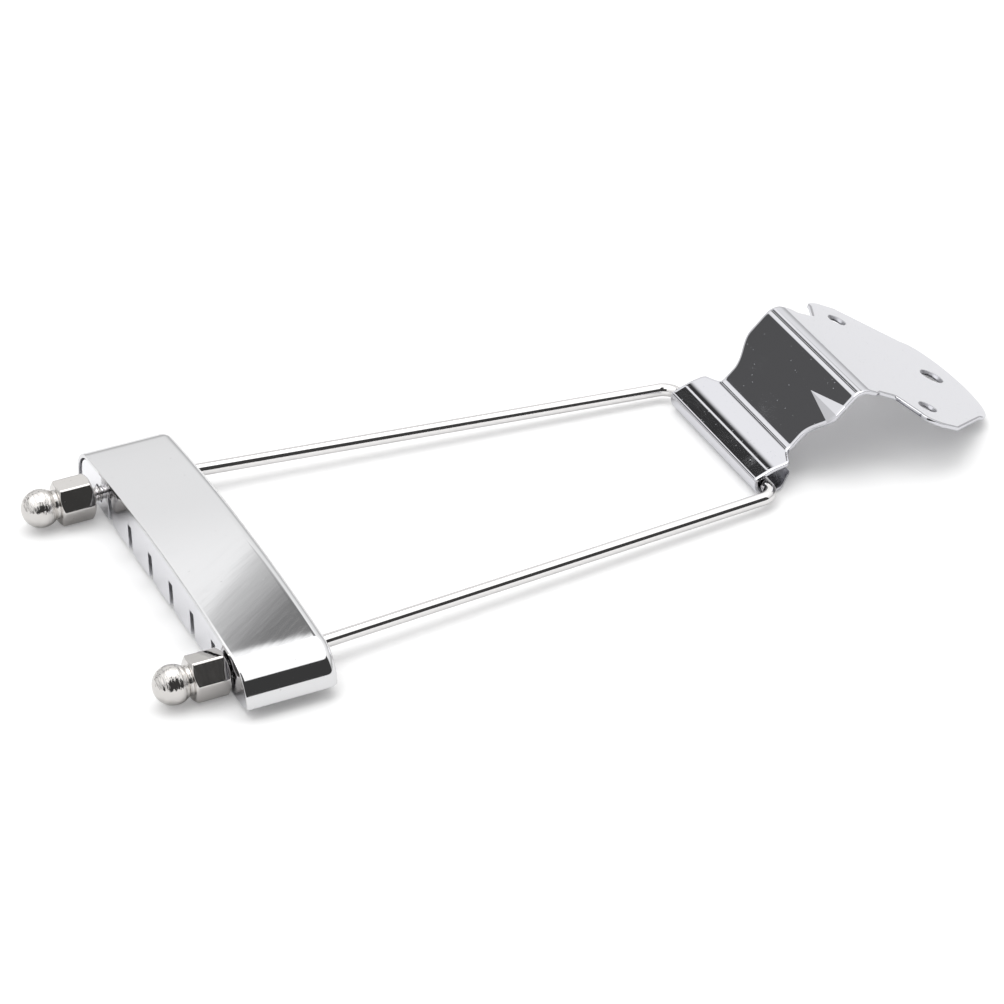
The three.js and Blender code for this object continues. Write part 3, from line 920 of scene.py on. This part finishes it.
yoke = {
    "radius": 1.25,
    "hingeCorner": (0, 21.4, 0),
    "shoulder": (-99.3, 31.9, 2.64),
    "tip": (-120.9, 31.9, 2.64),
    "cornerRadius": 3.2,
    "shoulderRadius": 9,
    "sides": 40,
    "facetAngle": 4,
    "leastFacets": 4,
    "threadEnd": -105.3,
    "threadRunout": 0.25,
    "threadLead": 0.2,
    # where along the stud each ridge starts, reaches its crest, leaves it and ends
    "threadRidge": (0, 0.26, 0.34, 0.6),
    "threadSink": 0.06,
    "rootRadius": 1.1,
    "crestRadius": 1.425,
    "pitch": 0.635,
    "turns": 24,
    "perTurn": 30,
    "tipChamfer": 0.35,
    "tipScale": 0.7,
}


def pushRing(bm, edges, step, scale=1.0, centre=None):
    made = bmesh.ops.extrude_edge_only(bm, edges=edges)["geom"]
    verts = vertsOf(made)
    if scale != 1:
        space = Matrix.Translation(-Vector(centre))
        bmesh.ops.scale(bm, vec=(scale,) * 3, space=space, verts=verts)
    bmesh.ops.translate(bm, vec=step, verts=verts)
    return [edge for edge in edgesOf(made) if all(vert in verts for vert in edge.verts)]


def bendRing(bm, edges, corner, before, after, radius, values):
    axis = before.cross(after).normalized()
    turn = before.angle(after)
    facets = math.ceil(math.degrees(turn) / values["facetAngle"])
    start = corner - before * radius * math.tan(turn / 2)
    centre = start + axis.cross(before) * radius
    made = bmesh.ops.spin(
        bm,
        geom=edges,
        cent=centre,
        axis=axis,
        dvec=(0, 0, 0),
        angle=turn,
        steps=max(values["leastFacets"], facets),
        use_merge=False,
        use_normal_flip=False,
        use_duplicate=False,
    )
    return edgesOf(made["geom_last"]), corner + after * radius * math.tan(turn / 2)


def makeYoke(values):
    bm = bmesh.new()
    corner, shoulder, tip = (Vector(values[key]) for key in ("hingeCorner", "shoulder", "tip"))
    across = corner.normalized()
    leg = (shoulder - corner).normalized()
    stud = (tip - shoulder).normalized()
    facing = Matrix.Rotation(math.pi / 2, 4, "X")
    verts = bmesh.ops.create_circle(
        bm,
        segments=values["sides"],
        radius=values["radius"],
        matrix=facing,
    )["verts"]
    ring = edgesRound(verts)
    lead = values["cornerRadius"] * math.tan(across.angle(leg) / 2)
    ring = pushRing(bm, ring, across * (corner.length - lead))
    ring, place = bendRing(bm, ring, corner, across, leg, values["cornerRadius"], values)
    lead = values["shoulderRadius"] * math.tan(leg.angle(stud) / 2)
    ring = pushRing(bm, ring, shoulder - leg * lead - place)
    ring, place = bendRing(bm, ring, shoulder, leg, stud, values["shoulderRadius"], values)
    threadStart = Vector((values["threadEnd"], tip.y, tip.z))
    ring = pushRing(bm, ring, threadStart - place)
    root = values["rootRadius"] / values["radius"]
    runout = stud * values["threadRunout"]
    ring = pushRing(bm, ring, runout, root, threadStart)
    place = threadStart + runout
    end = tip - stud * values["tipChamfer"]
    ring = pushRing(bm, ring, end - place)
    ring = pushRing(bm, ring, tip - end, values["tipScale"], end)
    bmesh.ops.contextual_create(bm, geom=ring)
    crest = values["crestRadius"]
    base = values["rootRadius"] - values["threadSink"]
    top = values["threadEnd"] - values["threadLead"]
    ridge = zip(values["threadRidge"], (base, crest, crest, base))
    profile = [(top - along, tip.y, tip.z + radius) for along, radius in ridge]
    loop = drawLine(bm, profile, closed=True)
    perTurn = values["perTurn"]
    made = bmesh.ops.spin(
        bm,
        geom=loop,
        cent=tip,
        axis=(1, 0, 0),
        dvec=(-values["pitch"] / perTurn, 0, 0),
        angle=2 * math.pi * (values["turns"] - 1),
        steps=perTurn * (values["turns"] - 1),
        use_merge=False,
        use_normal_flip=False,
        use_duplicate=False,
    )
    bmesh.ops.contextual_create(bm, geom=edgesOf(made["geom_last"]))
    bmesh.ops.contextual_create(bm, geom=loop)
    half = bm.verts[:] + bm.edges[:] + bm.faces[:]
    bmesh.ops.mirror(bm, geom=half, axis="Y", merge_dist=-1)
    bmesh.ops.remove_doubles(bm, verts=bm.verts, dist=tolerance["merge"])
    bmesh.ops.recalc_face_normals(bm, faces=bm.faces)
    piece = finishPiece(
        bm,
        "bentWire",
        yokePlace,
        "wireChrome",
        "yoke",
        "wire_yoke",
    )
    piece.modifiers.new("flatShading", "WEIGHTED_NORMAL")


makeYoke(yoke)

# Dome nuts, turned about X with the inner face at zero

nut = {
    "acrossFlats": 7.5,
    "hexLength": 6.6,
    "chamfer": 0.45,
    "chamferSteps": 9,
    "cornerMargin": 0.15,
    "faceMargin": 0.1,
    "neckRadius": 2.8,
    "neckLength": 0.7,
    "neckWaist": (0.08, -0.04),
    "neckFlare": 0.06,
    "domeRadius": 3.65,
    "domeSteps": 36,
    "ballMargin": 0.1,
    "boreRadius": 1.72,
    # the mouth's points along the bore and out from its wall
    "boreMouth": [(0, 0.25), (-0.02, 0.15), (-0.15, 0), (-0.3, 0)],
    "boreDepth": 8.5,
    "boreTip": 0.4,
    "sides": 96,
    "near": {"turn": 49, "place": (-113.6, -31.9, 2.64)},
    "far": {"turn": 57.5, "place": (-115.1, 31.9, 2.64)},
}


def nutProfile(values):
    # From the ball's end over the outside, and back into the bore
    flat = values["acrossFlats"] / 2
    chamfer = values["chamfer"]
    corner = flat / math.cos(math.pi / 6)
    face = flat - chamfer / 4
    length = values["hexLength"]
    neck = values["neckRadius"]
    neckEnd = -length - values["neckLength"]
    domeRadius = values["domeRadius"]
    centre = neckEnd - math.sqrt(domeRadius**2 - neck**2)
    last = math.pi - math.asin(neck / domeRadius)
    count = values["domeSteps"]
    points = []
    for step in range(count + 1):
        angle = last * step / count
        points.append((centre - domeRadius * math.cos(angle), domeRadius * math.sin(angle)))
    ease, waist = values["neckWaist"]
    points += [(neckEnd + ease, neck + waist), (-length - ease, neck + waist)]
    points += [(-length, neck + values["neckFlare"]), (-length, face - values["faceMargin"])]
    steps = values["chamferSteps"]
    shares = [step / steps for step in range(steps + 1)]
    rise = [(chamfer * share, face + (corner - face) * share) for share in shares]
    points += [(-length + along, radius) for along, radius in rise]
    edge = chamfer + values["cornerMargin"]
    points += [(-length + edge, corner), (-edge, corner)]
    points += [(-along, radius) for along, radius in reversed(rise)]
    bore = values["boreRadius"]
    points.append((0, face - values["faceMargin"]))
    points += [(along, bore + out) for along, out in values["boreMouth"]]
    points += [(-values["boreDepth"], bore), (-values["boreDepth"] - values["boreTip"], 0)]
    return points


def makeNut(values, which, name, body, node):
    bm = bmesh.new()
    turn = rad(values[which]["turn"])
    y, z = math.cos(turn), math.sin(turn)
    points = [(along, radius * y, radius * z) for along, radius in nutProfile(values)]
    edges = drawLine(bm, points)
    bmesh.ops.spin(
        bm,
        geom=edges,
        cent=(0, 0, 0),
        axis=(1, 0, 0),
        dvec=(0, 0, 0),
        angle=2 * math.pi,
        steps=values["sides"],
        use_merge=True,
        use_normal_flip=False,
        use_duplicate=False,
    )
    bmesh.ops.remove_doubles(bm, verts=bm.verts, dist=tolerance["merge"])
    bmesh.ops.recalc_face_normals(bm, faces=bm.faces)
    flat = values["acrossFlats"] / 2
    hexEnd = -values["hexLength"]
    for vert in bm.verts:  # six flats milled on the turned blank
        along, y, z = vert.co
        radius = math.hypot(y, z)
        if hexEnd - tolerance["merge"] <= along and radius > flat - tolerance["merge"]:
            slant = (math.atan2(z, y) - turn) % (math.pi / 3) - math.pi / 6
            milled = min(radius, flat / math.cos(slant))
            vert.co = (along, y * milled / radius, z * milled / radius)
    place = yokePlace @ Matrix.Translation(values[which]["place"])
    ballStart = hexEnd - values["ballMargin"]
    for face in bm.faces:
        face.material_index = int(face.calc_center_median().x < ballStart)
    piece = finishPiece(bm, name, place, "nutNickel", body, node)
    piece.data.materials.append(materials["ballNickel"])
    piece.modifiers.new("flatShading", "WEIGHTED_NORMAL")


makeNut(nut, "near", "nearDomeNut", "near_nut", "dome_nut_near")
makeNut(nut, "far", "farDomeNut", "far_nut", "dome_nut_far")

# Floor and light

studio = {
    "floorSize": 4.0,
    "floorCells": 8,
    "floorDrop": 0.00005,
    "floorColour": (0.84, 0.84, 0.84),
    "floorRoughness": 0.9,
    "floorGlow": 0.22,  # as the camera sees it
    "floorSheen": 0.01,  # as the metal mirrors it
    "lampSize": (0.9, 0.6),
    "lampHeight": 0.9,
    "lampShift": 0.12,
    "lampPower": 2.4,
    # brightness of the surround: a base, then what is added between two heights in degrees
    "surround": 0.55,
    "surroundSteps": [(5, 26, 0.39), (29, 37, 0.14), (44.5, 47.5, 0.27)],
    # a slanted card changes height round this compass angle and at most this far past it,
    # and that angle drifts with the height
    "slantFrom": 6.2,
    "slantLimit": 1.5,
    "slantDrift": -0.36,
}

# Cards round the table, most of them dark. Left and right are compass angles from the far side,
# low and high are heights, and the second number of each pair is how softly that edge fades,
# all in degrees. A card past 90 degrees stands on both sides. Level is the brightness, and slant
# is how much a card's height changes with the compass angle.
cards = {
    "rampCard": {
        "left": (-37, 1),
        "right": (-25.5, 1),
        "low": (18, 1.5),
        "high": (33, 1.5),
        "level": 0.105,
    },
    "crownCard": {
        "left": (-9.5, 1),
        "right": (-2.9, 0.6),
        "low": (33, 2),
        "high": (46, 1.5),
        "level": 0.045,
    },
    "neckCard": {
        "left": (-1.2, 0.8),
        "right": (12, 9),
        "low": (34, 1.5),
        "high": (46, 1.5),
        "level": 0.045,
    },
    "coverHaze": {
        "left": (16, 2),
        "right": (30, 2),
        "low": (39, 1.4),
        "high": (70, 5),
        "level": 0.66,
        "slant": 3.4,
    },
    "coverCard": {
        "left": (16, 2),
        "right": (30, 2),
        "low": (40, 6.2),
        "high": (70, 5),
        "level": 0.22,
        "slant": 3.4,
    },
    "roofCard": {
        "left": (14, 2),
        "right": (70, 5),
        "low": (44.4, 0.4),
        "high": (91, 1),
        "level": 1.32,
    },
    "cameraCard": {
        "left": (125, 3),
        "right": (195, 3),
        "low": (-6, 2),
        "high": (45.3, 0.7),
        "level": 0.05,
    },
    "lensCard": {
        "left": (158.5, 2),
        "right": (195, 3),
        "low": (-12, 2),
        "high": (75, 2),
        "level": 0.05,
    },
}


def makeFloor(values):
    bm = bmesh.new()
    bmesh.ops.create_grid(
        bm,
        x_segments=values["floorCells"],
        y_segments=values["floorCells"],
        size=values["floorSize"] / 2,
    )
    bmesh.ops.translate(bm, vec=(0, 0, -values["floorDrop"]), verts=bm.verts)
    mesh = bpy.data.meshes.new("paleTable")
    bm.to_mesh(mesh)
    bm.free()
    floor = bpy.data.objects.new("paleTable", mesh)
    bpy.context.scene.collection.objects.link(floor)
    material = bpy.data.materials.new("tablePaper")
    material.use_nodes = True
    tree = material.node_tree
    shader = tree.nodes["Principled BSDF"]
    shader.inputs["Base Color"].default_value = (*values["floorColour"], 1)
    shader.inputs["Roughness"].default_value = values["floorRoughness"]
    shader.inputs["Specular IOR Level"].default_value = 0
    shader.inputs["Emission Color"].default_value = (1, 1, 1, 1)
    path = tree.nodes.new("ShaderNodeLightPath").outputs
    seen = path["Is Camera Ray"]
    mirrored = mathNode(tree, "MAXIMUM", path["Is Glossy Ray"], path["Is Transmission Ray"])
    sheen = mathNode(tree, "MULTIPLY", mirrored, values["floorSheen"])
    glow = mathNode(tree, "MULTIPLY_ADD", seen, values["floorGlow"], sheen)
    link(tree, glow, shader.inputs["Emission Strength"])
    mesh.materials.append(material)


def makeStudioCard():
    # One where a direction falls on the card, and nought beside it
    sides = ("Left", "Right", "Low", "High")
    labels = ["Azimuth", "Elevation", *sides, *(side + " Softness" for side in sides)]
    inputs = [(label, floatKind, 0.1) for label in labels]
    tree, entry, result = newGroup("studioCard", inputs, [("Mask", floatKind)])
    mask = None
    for side in sides:
        angle = entry.outputs["Azimuth" if side in ("Left", "Right") else "Elevation"]
        sign = 1 if side in ("Left", "Low") else -1
        limit = entry.outputs[side]
        softness = entry.outputs[side + " Softness"]
        inner = mathNode(tree, "MULTIPLY_ADD", softness, sign, limit)
        if sign > 0:
            edge = rangeNode(tree, angle, limit, inner)
        else:
            edge = rangeNode(tree, angle, inner, limit, 1.0, 0.0)
        mask = edge if mask is None else mathNode(tree, "MULTIPLY", mask, edge)
    link(tree, mask, result.inputs["Mask"])
    return tree


def makeWorld(values, cardList):
    world = bpy.data.worlds.new("paleStudio")
    bpy.context.scene.world = world
    world.use_nodes = True
    tree = world.node_tree
    background = tree.nodes["Background"]
    split = tree.nodes.new("ShaderNodeSeparateXYZ")
    link(tree, tree.nodes.new("ShaderNodeTexCoord").outputs["Generated"], split.inputs[0])
    east, north, height = split.outputs
    azimuth = mathNode(tree, "ARCTAN2", east, north)
    behind = mathNode(tree, "ABSOLUTE", azimuth)
    elevation = mathNode(tree, "ARCSINE", height)
    shade = values["surround"]
    for start, end, added in values["surroundSteps"]:
        step = rangeNode(tree, elevation, rad(start), rad(end), 0.0, added)
        shade = mathNode(tree, "ADD", shade, step)
    group = makeStudioCard()
    for name, angles in cardList.items():
        card = tree.nodes.new("ShaderNodeGroup")
        card.node_tree = group
        card.label = name
        link(tree, behind if angles["left"][0] > 90 else azimuth, card.inputs["Azimuth"])
        angle = elevation
        if "slant" in angles:
            drift = mathNode(tree, "MULTIPLY_ADD", elevation, values["slantDrift"], azimuth)
            beyond = mathNode(tree, "SUBTRACT", drift, rad(values["slantFrom"]))
            aside = mathNode(tree, "MINIMUM", beyond, rad(values["slantLimit"]))
            angle = mathNode(tree, "MULTIPLY_ADD", aside, angles["slant"], elevation)
        link(tree, angle, card.inputs["Elevation"])
        for side in ("Left", "Right", "Low", "High"):
            place, softness = angles[side.lower()]
            card.inputs[side].default_value = rad(place)
            card.inputs[side + " Softness"].default_value = rad(softness)
        mix = tree.nodes.new("ShaderNodeMix")
        link(tree, card.outputs["Mask"], mix.inputs["Factor"])
        link(tree, shade, mix.inputs["A"])
        mix.inputs["B"].default_value = angles["level"]
        shade = mix.outputs["Result"]
    path = tree.nodes.new("ShaderNodeLightPath")
    seen = tree.nodes.new("ShaderNodeMix")
    link(tree, path.outputs["Is Camera Ray"], seen.inputs["Factor"])
    link(tree, shade, seen.inputs["A"])
    seen.inputs["B"].default_value = 1
    link(tree, seen.outputs["Result"], background.inputs["Strength"])
    background.inputs["Color"].default_value = (1, 1, 1, 1)


def makeLamp(values):
    lamp = bpy.data.lights.new("softBox", "AREA")
    lamp.shape = "RECTANGLE"
    lamp.size, lamp.size_y = values["lampSize"]
    lamp.energy = values["lampPower"]
    item = bpy.data.objects.new("softBox", lamp)
    item.location = (0, values["lampShift"], values["lampHeight"])
    item.rotation_euler = (-math.atan2(values["lampShift"], values["lampHeight"]), 0, 0)
    bpy.context.scene.collection.objects.link(item)


makeFloor(studio)
makeWorld(studio, cards)
makeLamp(studio)
bpy.context.scene.view_settings.view_transform = "Standard"
print("studio ready")
